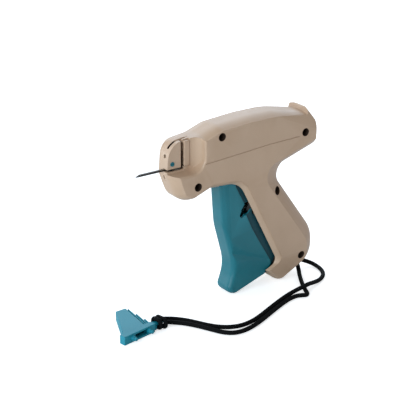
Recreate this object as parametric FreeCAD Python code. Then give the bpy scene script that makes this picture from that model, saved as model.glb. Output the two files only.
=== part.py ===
import FreeCAD
import Part

import math
import os

# Garment tag attacher. Millimetres, +Z up, needle towards -X, left side towards -Y. The tool stands on the
# end of its grip and the tip of its trigger at z = 0, and the two housing halves meet on the plane y = 0.
# Side outlines are lists of corners (x, z, radius, setback): the setback is how far the edge that runs on
# to the next corner steps inwards between the middle of the body and its flat side.

V = FreeCAD.Vector
Y_AXIS = V(0, 1, 0)
X_AXIS = V(1, 0, 0)

MIDDLE_X = 1.13              # halfway between the needle's tip and the back; the frame's origin is moved here

# Housing
HALF_WIDTH = 12.5            # parting plane to flat side
STRAIGHT_WIDTH = 3.5         # parting plane to where the edges start to round off
WALL = 2.2
PAST = 20.0                  # how far a cut reaches past what it cuts
# Rounding of an edge: share of the setback, share of the way from the straight to the flat side
ARC_PROFILE = [((k / 6) ** 2, k / 6) for k in range(7)]      # ends in a crease at the flat side
SOFT_PROFILE = [(0.0, 0.0), (0.12, 0.4), (0.5, 0.8), (1.0, 1.0)]
HOLLOW_STEPS = [4.1, 6.1, 8.2, HALF_WIDTH - WALL]            # the hollow narrows with the rounding at these
RIB_Y = -HALF_WIDTH + WALL - 0.5
FRONT_X = -47.0
HOUSING = [
    (-46.2, 116.2, 12.0, 2.5),     # nose, top
    (-23.0, 119.2, 12.0, 2.5),     # foot of the step
    (-10.4, 123.6, 14.0, 2.5),     # head of the step
    (14.0, 125.4, 60.0, 2.5),      # crown
    (36.0, 125.4, 50.0, 2.5),      # crown
    (60.8, 120.4, 0.8, 1.4),       # foot of the rear fin
    (61.7, 125.4, 1.6, 3.0),       # fin
    (71.5, 113.6, 15.0, 3.0),      # rear, top
    (70.9, 95.6, 5.0, 6.0),        # rear, bottom
    (34.3, 84.4, 10.0, 10.0),      # throat
    (71.3, 32.3, 22.0, 8.5),       # back of the grip
    (71.3, 13.3, 16.0, 5.0),       # heel
    (42.9, -0.996, 6.0, 3.8),      # foot of the grip
    (26.2, 11.7, 0.8, 2.4),        # tip of the grip's front edge
    (35.7, 16.5, 5.0, 6.0),        # bottom of the trigger opening
    (3.4, 79.9, 15.0, 4.4),        # top of the trigger opening
    (-19.0, 81.4, 6.0, 3.4),       # root of the chin
    (-31.0, 77.0, 6.0, 3.4),       # chin
    (-41.2, 77.2, 10.5, 4.5),      # chin, front
    (-48.0, 95.5, 11.0, 5.5),      # front face
]
OPENING_HALF_WIDTH = 9.5     # the trigger opening between the side walls
OPENING = [(-10.2, 70), (-10.2, 89), (20, 89), (42, 60), (52, 40), (52, 17), (35.4, 10.5), (35.4, 2),
           (20, 2)]
LIP_SHARE = 0.95             # share of the setback where the groove round the opening runs
LIP_GROOVE = (0.6, 0.25)     # width and depth
LINE_GROOVE = (0.55, 0.3)    # of the line along the body
LIP_REGION = [(-27, 95), (8, 95), (52, 20), (42, 4), (20, 2), (-27, 70)]
CROWN_R = 22.0               # round of the rear fin across the body
CROWN_CUT = 0.4              # how much the round takes off the fin's middle
SHAVE_REACH = 20.0
# Sloping facets of a side: line from a to b, side of it that is shaved, and depth
SHAVES = [((29.7, 125.2), (60.6, 110.8), 1, 4.6),     # rear shoulder
          ((38.0, 19.4), (62.0, 20.6), -1, 2.9)]      # foot

# Needle, rod and feed
AXIS_Z = 99.0                # needle and ejector rod
NEEDLE_TIP_X = -69.0
NEEDLE_ROOT_X = -42.9
NEEDLE_R = 0.95
NEEDLE_BORE_R = 0.70
NEEDLE_SLOT = 0.8
FIT = 0.05                   # radial running clearance of pins and shafts
SEAT = 0.3                   # gap between moving neighbours
HUB_R = 2.8
HUB_LENGTH = 1.7
FACE_HOLE_R = 1.25           # round hole and slot in the nose that take the cap's pins
FACE_HOLE_Z = 108.1
FACE_SLOT_Z = 94.0
FASTENER_X = -36.2           # middle of the column of fasteners
FASTENER_LENGTH = 10.0
FEED_HALF_WIDTH = 0.9
COLUMN_Z = 90.0              # bottom of the column
FRONT_SLOT = (3.3, 0.9, 105.0)   # reach from the column, half width and bottom of the filaments' slots
REAR_SLOT = (1.6, 0.4, 112.0)
EXIT_SLOT = (2.0, 0.7)       # how much shorter than the column at each end, and half width

# Fastener pocket in the left side of the nose
POCKET_Y = -4.0
POCKET_FLOOR_Z = 97.0
POCKET_FALL = 1.0            # how much lower the floor is at the outside
POCKET_END_X = -31.5
POCKET_END_R = 8.0
POCKET_RIM_R = 1.5           # round of the pocket's rim on the flat side
POCKET_RIM_STEPS = 6
POCKET_CORNER_R = 9.5        # round between the pocket's floor and its end, in the side view
LINING_Y = -2.2
LINING_X = -20.0
LINING_Z = 93.0
BODY_TOP = 125.0             # above the whole nose
SLOT_WIDTH = 1.8             # slot that the filaments pass beside the needle
SLOT_REAR = 0.7              # how much further back the vertical slot reaches
GATE_Z = (AXIS_Z + 1.2, 117.2)
GATE_GAP = 0.3

# Screws: (x, z) in the side view
SCREWS = [(-10.4, 117.4), (58.7, 107.4), (-29.3, 86.8), (36.8, 69.4), (58.0, 17.1)]
SCREW_RECESS_R = 2.8
SCREW_SEAT_Y = -4.0
SCREW_HEAD_R = 2.3
SCREW_HEAD = 1.8
SCREW_R = 1.25
SCREW_DRIVE = (1.4, 0.35, 1.1)   # cross in the head: reach and half width of its arms, and depth
SCREW_REACH = 7.0
SCREW_PLAY = 0.15            # round the shank
BOSS_R = 3.7

# Trigger
TRIGGER_PIVOT = (-4.0, 86.0)
TRIGGER_ANGLE = 17.0
TRIGGER_HUB_R = 5.4
TRIGGER_HALF_WIDTH = 8.3
TRIGGER_FRONT_HALF = 4.4
TRIGGER_WALL = 2.1
TRIGGER = [
    (-7.7, 85.0, 2.0, 0.3),        # top, front
    (5.6, 85.0, 2.0, 0.3),         # top, rear
    (9.7, 52.2, 4.0, 0.3),         # foot of the neck
    (17.5, 60.0, 1.5, 0.3),        # top of the fan
    (24.5, 57.0, 1.5, 0.3),        # top of the fan, rear
    (39.5, 22.0, 6.0, 0.3),        # rear edge of the fan
    (33.6, 9.5, 2.5, 0.9),         # rear corner of the fan
    (-4.0, -2.59, 4.6, 3.0),       # tip
    (3.6, 19.0, 30.0, 3.0),        # belly
    (-5.3, 52.0, 40.0, 5.6),       # waist
]
OPEN_BEHIND = (1, 2, 3, 4, 5, 6)   # corners that the trigger's hollow leaves behind
BACK_RAISE = {2: 4.0, 3: 3.0, 4: 2.0}   # how much higher the hollow runs at these corners
# Plates that widen the neck's sides to the rear
NECK_SIDE = [(2.0, 84.4), (13.0, 84.4), (15.8, 65.4), (11.4, 65.0), (8.0, 60.0), (4.0, 60.0)]
NOTCH = [(9.4, 57.2), (13.4, 63.2)]   # middle line of the notch between neck and fan
NOTCH_R = 2.05
# Region of the step in the sides, behind which the trigger slides into the grip
STEP_IN = [(3.6, 79.0), (11.0, 64.9), (13.2, 55.0), (18.0, 44.7), (23.2, 35.5), (28.8, 26.2), (33.7, 17.9),
           (34.1, 14.9), (32.2, 12.6), (29.3, 11.2), (28.4, 5.0), (60.0, -10.0), (60.0, 95.0), (3.6, 95.0)]
STEP_DEPTH = 1.0
# Valley in the trigger's sides: upper edge, bottom and lower edge as (x, z, depth), at its front and its rear
VALLEY_FRONT = [(-2.0, 41.0, -0.4), (-2.0, 31.5, 1.3), (-2.0, 23.8, -0.4)]
VALLEY_REAR = [(35.0, 19.4, -0.4), (35.0, 18.3, 0.1), (35.0, 17.2, -0.4)]
PIN_R = 1.5
PIN_HALF = 10.9

# Drive lever
LEVER_PIVOT = (28.0, 66.0)
LEVER_BEND = (31.5, 86.0)
STROKE = 36.0
LINK_X = 46.0                # link pin at rest
ROLLER_ARM = 13.0
LEVER_HALF_WIDTH = 2.0
LEVER_BAR_R = 2.6
LEVER_HUB_R = 4.0
LEVER_SPACER_R = 2.8         # keeps the lever in the middle of its pin
LEVER_PAD_R = 3.6
LINK_END_R = 2.5
PUSH_RIB = (-1.0, 12.0, 2.2) # ends along the roller's way, and thickness
ROLLER_R = 3.0
ROLLER_PIN_R = 1.0
ROLLER_HALF = TRIGGER_HALF_WIDTH - TRIGGER_WALL - 1.5

# Ram slide, ejector rod and spring
SLIDE_X = (20.0, 53.0)
SLIDE_HALF_WIDTH = 5.8
SLIDE_Z = (94.5, 107.5)
SLIDE_SLOT_HALF = 2.4
SLIDE_ROOF = 1.1
SLIDE_SLOT_RISE = 6.4        # height of the link pin's slot above the axis
ROD_R = 0.62
ROD_TIP_X = -31.2
ROD_SOCKET = 7.0
BULKHEAD_X = (-31.0, -28.2)
BUSHING_R = 2.4
SPRING_R = 2.7
SPRING_WIRE_R = 0.4
SPRING_TURNS = 12
RAIL = 1.6
RAIL_X = (-17.0, 55.0)
RAIL_Y = -3.6

# Feed wheel
WHEEL_R = 4.55
WHEEL_Y = HALF_WIDTH - WALL - 0.25 - WHEEL_R
WHEEL_TEETH = 12
WHEEL_NOTCH_R = 0.75
WHEEL_X = (-38.6, -33.8)
AXLE_R = 1.0
AXLE_X = (-41.8, -29.6)
AXLE_RIB = (7.0, 8.0)        # the axle's rib reaches this far below and above the axis
LEDGE = 2.0                  # thickness of the ledges under the leaf spring and over the pawl
DETENT_Z = 93.3
PAWL_Z = AXIS_Z + WHEEL_R + 0.15
PAWL_HEIGHT = 1.6

# Outline of the cutter blade
BLADE = [(-42.6, 95.2), (-42.6, 97.6), (-41.0, 98.4), (-37.6, 95.2)]

# Needle lock
LOCK_AT = (-43.6, 103.2)
LOCK_R = 1.5

# Lanyard bar in the grip
BAR_R = 1.25
BAR_AT = (62.2, 15.6)
CORD_HOLE_AT = (62.0, 8.8)
CORD_HOLE_LENGTH = 9.6
CORD_HOLE_WIDTH = 8.0

# Cord and cap
CORD_R = 1.5
KNOT_GAP = 0.15
KNOT_TURNS = [(30.8, 0.3), (34.1, 1.6)]   # place along the tab, and slack on the near side
CAP_AT = (-98.0, -29.7)
CAP_TURN = 11.0
CAP_HEIGHT = 6.0
CAP_WALL = 1.3
CAP_FLANGE = (26.5, 4.6)     # length and depth
CAP_RIB = (0.8, 1.5, 1.8)    # width, pitch and height of the three ribs beside the wedge
CAP_RIB_STEP = 9.2           # each rib ends this much before the last
CAP_PIN_FOOT = (1.7, 1.9)    # radius and length of the pins' thick foot
CAP_PIN_U = 21.3             # the cap's pin beside the tab
CAP_PIN_REACH = 3.6
TAB_Z = (3.2, 5.0)
TAB_V = (1.2, 4.4)
TAB_END_U = 37.0


def unit(a, b):
    length = math.hypot(b[0] - a[0], b[1] - a[1])
    return (b[0] - a[0]) / length, (b[1] - a[1]) / length


def step_in(corners, amount=0.0, share=0.0, grow_concave=False):
    """The outline with each edge moved inwards by amount plus share of its setback. Runs clockwise."""
    n = len(corners)
    out = []
    for i in range(n):
        before, here, after = corners[i - 1], corners[i], corners[(i + 1) % n]
        d1 = unit(before, here)
        d2 = unit(here, after)
        move1 = amount + share * before[3]
        move2 = amount + share * here[3]
        # inward normals of a clockwise outline
        n1 = (d1[1], -d1[0])
        n2 = (d2[1], -d2[0])
        det = n1[0] * n2[1] - n1[1] * n2[0]
        dx = (move1 * n2[1] - move2 * n1[1]) / det
        dz = (n1[0] * move2 - n2[0] * move1) / det
        convex = d1[0] * d2[1] - d1[1] * d2[0] < 0
        shift = (move1 + move2) / 2
        if convex:
            radius = max(here[2] - shift, 0.4)
        else:
            radius = here[2] + (amount if grow_concave else 0.0)
        out.append((here[0] + dx, here[1] + dz, radius, here[3]))
    return out


def outline_wire(corners, y):
    """Closed wire of straight edges and tangent arcs in the plane at y."""
    n = len(corners)
    arcs = []
    for i in range(n):
        before, here, after = corners[i - 1], corners[i], corners[(i + 1) % n]
        d1 = unit(before, here)
        d2 = unit(here, after)
        half = math.acos(max(-1.0, min(1.0, d1[0] * d2[0] + d1[1] * d2[1]))) / 2
        radius = here[2]
        reach = radius * math.tan(half)
        bx, bz = d2[0] - d1[0], d2[1] - d1[1]
        size = math.hypot(bx, bz)
        deep = radius / math.cos(half) - radius
        start = V(here[0] - d1[0] * reach, y, here[1] - d1[1] * reach)
        middle = V(here[0] + bx / size * deep, y, here[1] + bz / size * deep)
        end = V(here[0] + d2[0] * reach, y, here[1] + d2[1] * reach)
        arcs.append((start, middle, end))
    edges = []
    for i in range(n):
        edges.append(Part.Arc(*arcs[i]).toShape())
        edges.append(Part.LineSegment(arcs[i][2], arcs[(i + 1) % n][0]).toShape())
    return Part.Wire(edges)


def slab(corners, y0, y1):
    return Part.Face(outline_wire(corners, y0)).extrude(V(0, y1 - y0, 0))


def plate(points, y0, y1):
    """Straight-edged side outline, from y0 to y1."""
    path = [V(x, y0, z) for x, z in points]
    return Part.Face(Part.makePolygon(path + [path[0]])).extrude(V(0, y1 - y0, 0))


def box(x0, x1, y0, y1, z0, z1):
    return Part.makeBox(x1 - x0, y1 - y0, z1 - z0, V(x0, y0, z0))


def pin(at, radius, y0, y1):
    return Part.makeCylinder(radius, y1 - y0, V(at[0], y0, at[1]), Y_AXIS)


def shaft(y, z, radius, x0, x1):
    return Part.makeCylinder(radius, x1 - x0, V(x0, y, z), X_AXIS)


def fuse(shapes):
    result = shapes[0]
    if len(shapes) > 1:
        result = result.multiFuse(shapes[1:])
    return result.removeSplitter()


def mirrored(shape):
    return shape.mirror(V(0, 0, 0), Y_AXIS)


def turned(point, centre, degrees):
    """point turned about centre in the side view, so that a point below the centre moves to +X."""
    a = math.radians(degrees)
    x, z = point[0] - centre[0], point[1] - centre[1]
    return centre[0] + x * math.cos(a) - z * math.sin(a), centre[1] + x * math.sin(a) + z * math.cos(a)


def bar(a, ra, b, rb, half_width):
    """Flat bar with round ends between two points of the side view."""
    dx, dz = unit(a, b)
    sides = [(a[0] - dz * ra, a[1] + dx * ra), (b[0] - dz * rb, b[1] + dx * rb),
             (b[0] + dz * rb, b[1] - dx * rb), (a[0] + dz * ra, a[1] - dx * ra)]
    return fuse([plate(sides, -half_width, half_width), pin(a, ra, -half_width, half_width),
                 pin(b, rb, -half_width, half_width)])


def half_body(corners, straight, full, profile):
    """Left half of a body whose edges round off between y = -straight and y = -full."""
    solids = [slab(corners, 0, -straight)]
    wires = []
    for share, way in profile:
        wires.append(outline_wire(step_in(corners, share=share), -straight - (full - straight) * way))
    solids.append(Part.makeLoft(wires, True, True))
    return fuse(solids)


def side_shave(a, b, side, depth):
    """Wedge that shaves the left side, above (1) or below (-1) the line a to b, depth deep at its far edge."""
    dx, dz = unit(a, b)
    ax, az = a[0] - dx * PAST, a[1] - dz * PAST
    across = (-dz * side * SHAVE_REACH, dx * side * SHAVE_REACH)
    y = -HALF_WIDTH
    path = [V(ax, y, az), V(ax + across[0], y + depth, az + across[1]),
            V(ax + across[0], y - WALL, az + across[1]), V(ax, y - WALL, az)]
    length = math.hypot(b[0] - a[0], b[1] - a[1]) + 2 * PAST
    return Part.Face(Part.makePolygon(path + [path[0]])).extrude(V(dx * length, 0, dz * length))


def shaves():
    """Sloping facets of a side: the rear shoulder and the foot."""
    return [side_shave(*shave) for shave in SHAVES]


def arc_slot(centre, point, degrees, half_width, y0, y1):
    """Slot swept by a pin at point that turns about centre by degrees."""
    shapes = []
    steps = 8
    for k in range(steps + 1):
        shapes.append(pin(turned(point, centre, degrees * k / steps), half_width, y0, y1))
    radius = math.hypot(point[0] - centre[0], point[1] - centre[1])
    rim = []
    for reach in (radius + half_width, radius - half_width):
        row = []
        for k in range(3):
            x, z = turned(point, centre, degrees * k / 2)
            d = unit(centre, (x, z))
            row.append(V(centre[0] + d[0] * reach, y0, centre[1] + d[1] * reach))
        rim.append(row)
    outer, inner = rim
    wire = Part.Wire([Part.Arc(*outer).toShape(), Part.LineSegment(outer[2], inner[2]).toShape(),
                      Part.Arc(inner[2], inner[1], inner[0]).toShape(),
                      Part.LineSegment(inner[0], outer[0]).toShape()])
    sector = Part.Face(wire).extrude(V(0, y1 - y0, 0))
    return fuse([sector, shapes[0], shapes[-1]])


def pocket():
    """Cut-back of the nose's left side, open to the front, the left and the top, its floor falling outwards."""
    far = -HALF_WIDTH - 4
    low, high = POCKET_FLOOR_Z - PAST, BODY_TOP + 5
    edge_x = POCKET_END_X + POCKET_END_R
    side = box(POCKET_END_X - 1, edge_x, far, POCKET_Y - POCKET_END_R, low, high)
    block = box(FRONT_X - PAST, POCKET_END_X, far, POCKET_Y, low, high)
    scoop = Part.makeCylinder(POCKET_END_R, high - low, V(POCKET_END_X, POCKET_Y - POCKET_END_R, low))
    outwards = pocket_outline_shift(far) - pocket_outline_shift(POCKET_Y)
    above = Part.Face(pocket_outline(POCKET_Y, 0)).extrude(outwards)
    return fuse([block, scoop, side]).common(above)


def pocket_outline_shift(y):
    """How far the pocket's side outline has moved at y, as its floor falls outwards."""
    return V(0, y, POCKET_FALL / (HALF_WIDTH + POCKET_Y) * (y - POCKET_Y))


def pocket_outline(y, grow):
    """The pocket's side outline at y, larger by grow."""
    front, top = FRONT_X - 2 * PAST, BODY_TOP + PAST
    corners = [(front, top, 1, 1), (POCKET_END_X + POCKET_END_R, top, 1, 1),
               (POCKET_END_X + POCKET_END_R, POCKET_FLOOR_Z, POCKET_CORNER_R, 1),
               (front, POCKET_FLOOR_Z, 1, 1)]
    return outline_wire(step_in(corners, -grow), 0).translated(pocket_outline_shift(y))


def pocket_rim():
    """Tool that rounds the pocket's rim over to the flat side."""
    wires = []
    for k in range(POCKET_RIM_STEPS + 1):
        a = math.pi / 2 * k / POCKET_RIM_STEPS
        deep = POCKET_RIM_R * (1 - math.sin(a))
        wires.append(pocket_outline(-HALF_WIDTH + deep, POCKET_RIM_R * (1 - math.cos(a))))
    wires.append(pocket_outline(-HALF_WIDTH - 1, POCKET_RIM_R + 1))
    return Part.makeLoft(wires, True, True)


def feed_slots():
    """Channel of the fasteners, and the slots that their filaments pass."""
    x0, x1 = FASTENER_X - FASTENER_LENGTH / 2, FASTENER_X + FASTENER_LENGTH / 2
    top = BODY_TOP + PAST
    column = box(x0, x1, -FEED_HALF_WIDTH, FEED_HALF_WIDTH, COLUMN_Z, top)
    reach, half, bottom = FRONT_SLOT
    front_slot = box(x0 - reach, x0 + 0.1, -half, half, bottom, top)
    reach, half, bottom = REAR_SLOT
    rear_slot = box(x1 - 0.1, x1 + reach, -half, half, bottom, top)
    upright = box(FASTENER_X - SLOT_WIDTH / 2, FASTENER_X + SLOT_WIDTH / 2 + SLOT_REAR, POCKET_Y - 1, 0,
                  AXIS_Z - SLOT_WIDTH / 2, top)
    level = box(FRONT_X - 2, FASTENER_X, POCKET_Y - 1, 0, AXIS_Z - SLOT_WIDTH / 2, AXIS_Z + SLOT_WIDTH / 2)
    short, half = EXIT_SLOT
    exit_slot = box(x0 + short, x1 - short, -half, half, COLUMN_Z - PAST, COLUMN_Z + 1)
    return [column, front_slot, rear_slot, upright, level, exit_slot]


def gate_space(gap):
    x0 = FASTENER_X + SLOT_WIDTH / 2 + SLOT_REAR + 0.1
    return box(x0 - gap, POCKET_END_X + 0.9 + gap, POCKET_Y - 0.5 - gap, LINING_Y - 0.3 + gap,
               GATE_Z[0] - gap, GATE_Z[1] + PAST * gap)


def shared_holes():
    """Holes that both halves share along the parting plane."""
    holes = [shaft(0, AXIS_Z, NEEDLE_R + FIT, FRONT_X - 5, NEEDLE_ROOT_X)]
    holes.append(shaft(0, FACE_HOLE_Z, FACE_HOLE_R, FRONT_X - 5, FRONT_X + WALL + 1))
    holes.append(box(FRONT_X - 5, FRONT_X + WALL + 1, -FACE_HOLE_R * 0.6, FACE_HOLE_R * 0.6,
                     FACE_SLOT_Z - FACE_HOLE_R, FACE_SLOT_Z + FACE_HOLE_R))
    holes.append(box(FRONT_X - 5, FRONT_X + 0.8, -0.2, 0.2, FACE_SLOT_Z - 7, FACE_SLOT_Z))
    holes.append(shaft(0, AXIS_Z, BUSHING_R + FIT, BULKHEAD_X[0] - 1, BULKHEAD_X[1] + 1))
    lanyard = Part.makeBox(CORD_HOLE_LENGTH, CORD_HOLE_WIDTH, 10,
                           V(-CORD_HOLE_LENGTH / 2, -CORD_HOLE_WIDTH / 2, -5))
    lanyard.rotate(V(0, 0, 0), Y_AXIS, -25.8)
    lanyard.translate(V(CORD_HOLE_AT[0], 0, CORD_HOLE_AT[1]))
    holes.append(lanyard)
    return holes


def hollow():
    """Inside of one half, with the opening for the trigger."""
    slabs = [plate(OPENING, 0, -OPENING_HALF_WIDTH)]
    for reach in HOLLOW_STEPS:
        share = ((reach - STRAIGHT_WIDTH) / (HALF_WIDTH - STRAIGHT_WIDTH)) ** 2
        slabs.append(slab(step_in(HOUSING, WALL, share, True), 0, -reach))
    return fuse(slabs)


def ribs():
    """Material that both halves keep inside."""
    low, high = SLIDE_Z[0] - SEAT, SLIDE_Z[1] + SEAT
    kept = [box(BULKHEAD_X[0], BULKHEAD_X[1], RIB_Y, 0, COLUMN_Z, BODY_TOP)]
    for z0, z1 in ((low - RAIL, low), (high, high + RAIL)):
        kept.append(box(RAIL_X[0], RAIL_X[1], RIB_Y, RAIL_Y, z0, z1))
    kept.append(pin(TRIGGER_PIVOT, 3.6, RIB_Y, -TRIGGER_HALF_WIDTH - SEAT))
    kept.append(pin(LEVER_PIVOT, LEVER_PAD_R, RIB_Y, -TRIGGER_HALF_WIDTH - SEAT))
    kept.append(pin(BAR_AT, BAR_R + 1.6, RIB_Y, -CORD_HOLE_WIDTH))
    for at in SCREWS:
        kept.append(pin(at, BOSS_R, RIB_Y, 0))
    for wedge in shaves():
        kept.append(wedge.translated(V(0, WALL, 0)))
    return kept


def left_half(own_ribs, own_holes):
    """One half as a left half: outer body, cavity round the ribs, and holes."""
    outer = side_details(half_body(HOUSING, STRAIGHT_WIDTH, HALF_WIDTH, ARC_PROFILE))
    space = hollow().cut(ribs() + own_ribs)
    holes = [pin(at, PIN_R + FIT, -PIN_HALF - 0.1, 1) for at in (TRIGGER_PIVOT, LEVER_PIVOT)]
    holes.append(pin(BAR_AT, BAR_R + FIT, -PIN_HALF + 1.4, 1))
    return outer.cut([space] + holes + own_holes)


def side_details(shell):
    """What both sides show: facets, the crowned fin, the line along the body and the lip of the opening."""
    (x0, z0), (x1, z1) = HOUSING[6][:2], HOUSING[7][:2]
    down = unit((x0, z0), (x1, z1))
    depth = CROWN_R - CROWN_CUT
    start = V(x0 + down[1] * depth - down[0] * PAST, 0, z0 - down[0] * depth - down[1] * PAST)
    crown = box(HOUSING[5][0] - 0.4, x1 + 5, -HALF_WIDTH - 1, 1, AXIS_Z - 1, BODY_TOP + 5).cut(
        Part.makeCylinder(CROWN_R, 3 * PAST, start, V(down[0], 0, down[1])))
    line = [(-25.2, 99.6), (-22.6, 101.2), (3.5, 102.9), (28, 104.6), (54, 105.2)]
    y = -HALF_WIDTH
    groove = plate(line + [(x, z + LINE_GROOVE[0]) for x, z in reversed(line)], y - 1, y + LINE_GROOVE[1])
    width, depth = LIP_GROOVE
    lip = slab(step_in(HOUSING, 0, LIP_SHARE), y - 1, y + depth)
    lip = lip.cut(slab(step_in(HOUSING, width, LIP_SHARE), y - 2, y + depth + 1))
    lip = lip.common(plate(LIP_REGION, y - 2, y + depth + 1))
    for tool in shaves() + [crown, groove, lip]:
        shell = shell.cut(tool)
    return shell


def left_housing():
    """The left half, and the cheek of the nose that the slots cut off it."""
    beside_spring = -SPRING_R - SPRING_WIRE_R - SEAT
    lining = [box(FRONT_X - 1, BULKHEAD_X[1], -HALF_WIDTH - 1, LINING_Y, LINING_Z, BODY_TOP),
              box(FRONT_X - 1, LINING_X, -HALF_WIDTH - 1, beside_spring, LINING_Z, BODY_TOP)]
    lock_hole = pin(LOCK_AT, LOCK_R + FIT, POCKET_Y - 2, 0)
    holes = [pocket(), pocket_rim(), gate_space(GATE_GAP), lock_hole] + feed_slots() + shared_holes()
    for at in SCREWS:
        holes.append(pin(at, SCREW_RECESS_R, -HALF_WIDTH - 1, SCREW_SEAT_Y))
        holes.append(pin(at, SCREW_R + SCREW_PLAY, SCREW_SEAT_Y - 1, 1))
    body, cheek = sorted(left_half(lining, holes).Solids, key=lambda solid: -solid.Volume)
    return body, cheek


def right_housing(cheek):
    """The right half, made as a left half and mirrored, with the cheek in front of the fastener slot."""
    below, above = AXLE_RIB
    front_rib = box(AXLE_X[0] - 0.2, AXLE_X[0] + 1.4, RIB_Y, -2.0, AXIS_Z - below, AXIS_Z + above)
    ledge = box(WHEEL_X[0], WHEEL_X[1], RIB_Y, -1.2, DETENT_Z - LEDGE, DETENT_Z - 0.02)
    pawl_top = PAWL_Z + PAWL_HEIGHT + SEAT
    shelf = box(WHEEL_X[0] - 1, WHEEL_X[1] + 1, RIB_Y, -1.4, pawl_top, pawl_top + LEDGE)
    holes = [mirrored(hole) for hole in feed_slots() if hole.BoundBox.YMax > 0.01] + shared_holes()
    holes.append(shaft(-WHEEL_Y, AXIS_Z, AXLE_R + FIT, AXLE_X[0], AXLE_X[1]))
    for at in SCREWS:
        holes.append(pin(at, SCREW_R + SCREW_PLAY, -SCREW_REACH - 0.5, 1))
    return mirrored(left_half([front_rib, ledge, shelf], holes)).fuse(cheek)


def screws():
    solids = []
    for at in SCREWS:
        head = pin(at, SCREW_HEAD_R, SCREW_SEAT_Y - SCREW_HEAD, SCREW_SEAT_Y)
        arm, half, deep = SCREW_DRIVE
        top = SCREW_SEAT_Y - SCREW_HEAD
        for wide, tall in ((arm, half), (half, arm)):
            head = head.cut(box(at[0] - wide, at[0] + wide, top - 1, top + deep, at[1] - tall, at[1] + tall))
        solids.append(fuse([head, pin(at, SCREW_R, SCREW_SEAT_Y, SCREW_REACH)]))
    return Part.makeCompound(solids)


def roller_rest():
    swing = math.degrees(math.asin(STROKE / 2 / math.hypot(STROKE / 2, AXIS_Z - LEVER_PIVOT[1])))
    below = (LEVER_PIVOT[0], LEVER_PIVOT[1] - ROLLER_ARM)
    return turned(below, LEVER_PIVOT, -swing), 2 * swing


def trigger():
    left = half_body(TRIGGER, TRIGGER_FRONT_HALF, TRIGGER_HALF_WIDTH, SOFT_PROFILE).cut(valley())
    body = fuse([left, mirrored(left)])
    inner = TRIGGER_HALF_WIDTH - TRIGGER_WALL
    behind = [(x + (PAST if i in OPEN_BEHIND else 0), z, r, s) for i, (x, z, r, s) in enumerate(
        step_in(TRIGGER, TRIGGER_WALL, 0.45, True))]
    for i, rise in BACK_RAISE.items():
        behind[i] = (behind[i][0], behind[i][1] + rise, behind[i][2], behind[i][3])
    body = body.cut(slab(behind, -inner, inner))
    neck = plate(NECK_SIDE, -TRIGGER_HALF_WIDTH, -inner)
    step = plate(STEP_IN, -TRIGGER_HALF_WIDTH - 1, -TRIGGER_HALF_WIDTH + STEP_DEPTH)
    hub = pin(TRIGGER_PIVOT, TRIGGER_HUB_R, -TRIGGER_HALF_WIDTH, TRIGGER_HALF_WIDTH)
    lever_gap = LEVER_HALF_WIDTH + SEAT
    rib = push_rib()
    body = fuse([body, hub, neck, mirrored(neck), plate(rib, -inner - 0.5, -lever_gap),
                 plate(rib, lever_gap, inner + 0.5)])
    for tool in (step, mirrored(step), bar(NOTCH[0], NOTCH_R, NOTCH[1], NOTCH_R, PAST)):
        body = body.cut(tool)
    pin_slot = arc_slot(TRIGGER_PIVOT, LEVER_PIVOT, -TRIGGER_ANGLE - 1, PIN_R + 0.7, -PAST, PAST)
    return body.cut(pin_slot).cut(pin(TRIGGER_PIVOT, PIN_R + FIT, -PAST, PAST))


def valley():
    """Shallow valley in the left side, wide and deep at the front and running out at the rear."""
    wires = []
    for corners in (VALLEY_FRONT, VALLEY_REAR):
        path = [V(x, -TRIGGER_HALF_WIDTH + depth, z) for x, z, depth in corners]
        wires.append(Part.makePolygon(path + [path[0]]))
    return Part.makeLoft(wires, True, True)


def push_rib():
    """Outline of the rib that the rollers run down, in front of their way and parallel to it."""
    roller, swing = roller_rest()
    end = turned(turned(roller, LEVER_PIVOT, swing), TRIGGER_PIVOT, -TRIGGER_ANGLE)
    down = unit(roller, end)
    top, bottom, thick = PUSH_RIB
    near = ROLLER_R + SEAT
    outline = []
    for offset, along in ((near, top), (near, bottom), (near + thick, bottom), (near + thick, top)):
        outline.append((roller[0] + down[0] * along + down[1] * offset,
                        roller[1] + down[1] * along - down[0] * offset))
    return outline


def drive_lever():
    roller, _ = roller_rest()
    link = (LINK_X, AXIS_Z)
    spacer = TRIGGER_HALF_WIDTH - TRIGGER_WALL - SEAT
    body = fuse([bar(LEVER_PIVOT, LEVER_BAR_R, LEVER_BEND, LEVER_BAR_R, LEVER_HALF_WIDTH),
                 bar(LEVER_BEND, LEVER_BAR_R, link, LEVER_BAR_R, LEVER_HALF_WIDTH),
                 bar(LEVER_PIVOT, LEVER_BAR_R, roller, ROLLER_R - 0.8, LEVER_HALF_WIDTH),
                 pin(LEVER_PIVOT, LEVER_HUB_R, -LEVER_HALF_WIDTH, LEVER_HALF_WIDTH),
                 pin(LEVER_PIVOT, LEVER_SPACER_R, -spacer, spacer),
                 pin(link, LINK_END_R, -LEVER_HALF_WIDTH, LEVER_HALF_WIDTH)])
    for at, radius in ((LEVER_PIVOT, PIN_R), (link, PIN_R), (roller, ROLLER_PIN_R)):
        body = body.cut(pin(at, radius + FIT, -20, 20))
    return body


def cam_rollers():
    roller, _ = roller_rest()
    solids = []
    for side in (-1, 1):
        y0, y1 = sorted((side * (LEVER_HALF_WIDTH + 0.2), side * ROLLER_HALF))
        solids.append(pin(roller, ROLLER_R, y0, y1).cut(pin(roller, ROLLER_PIN_R + FIT, -20, 20)))
    return Part.makeCompound(solids)


def cam_roller_pin():
    roller, _ = roller_rest()
    return pin(roller, ROLLER_PIN_R, -ROLLER_HALF - 0.6, ROLLER_HALF + 0.6)


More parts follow.
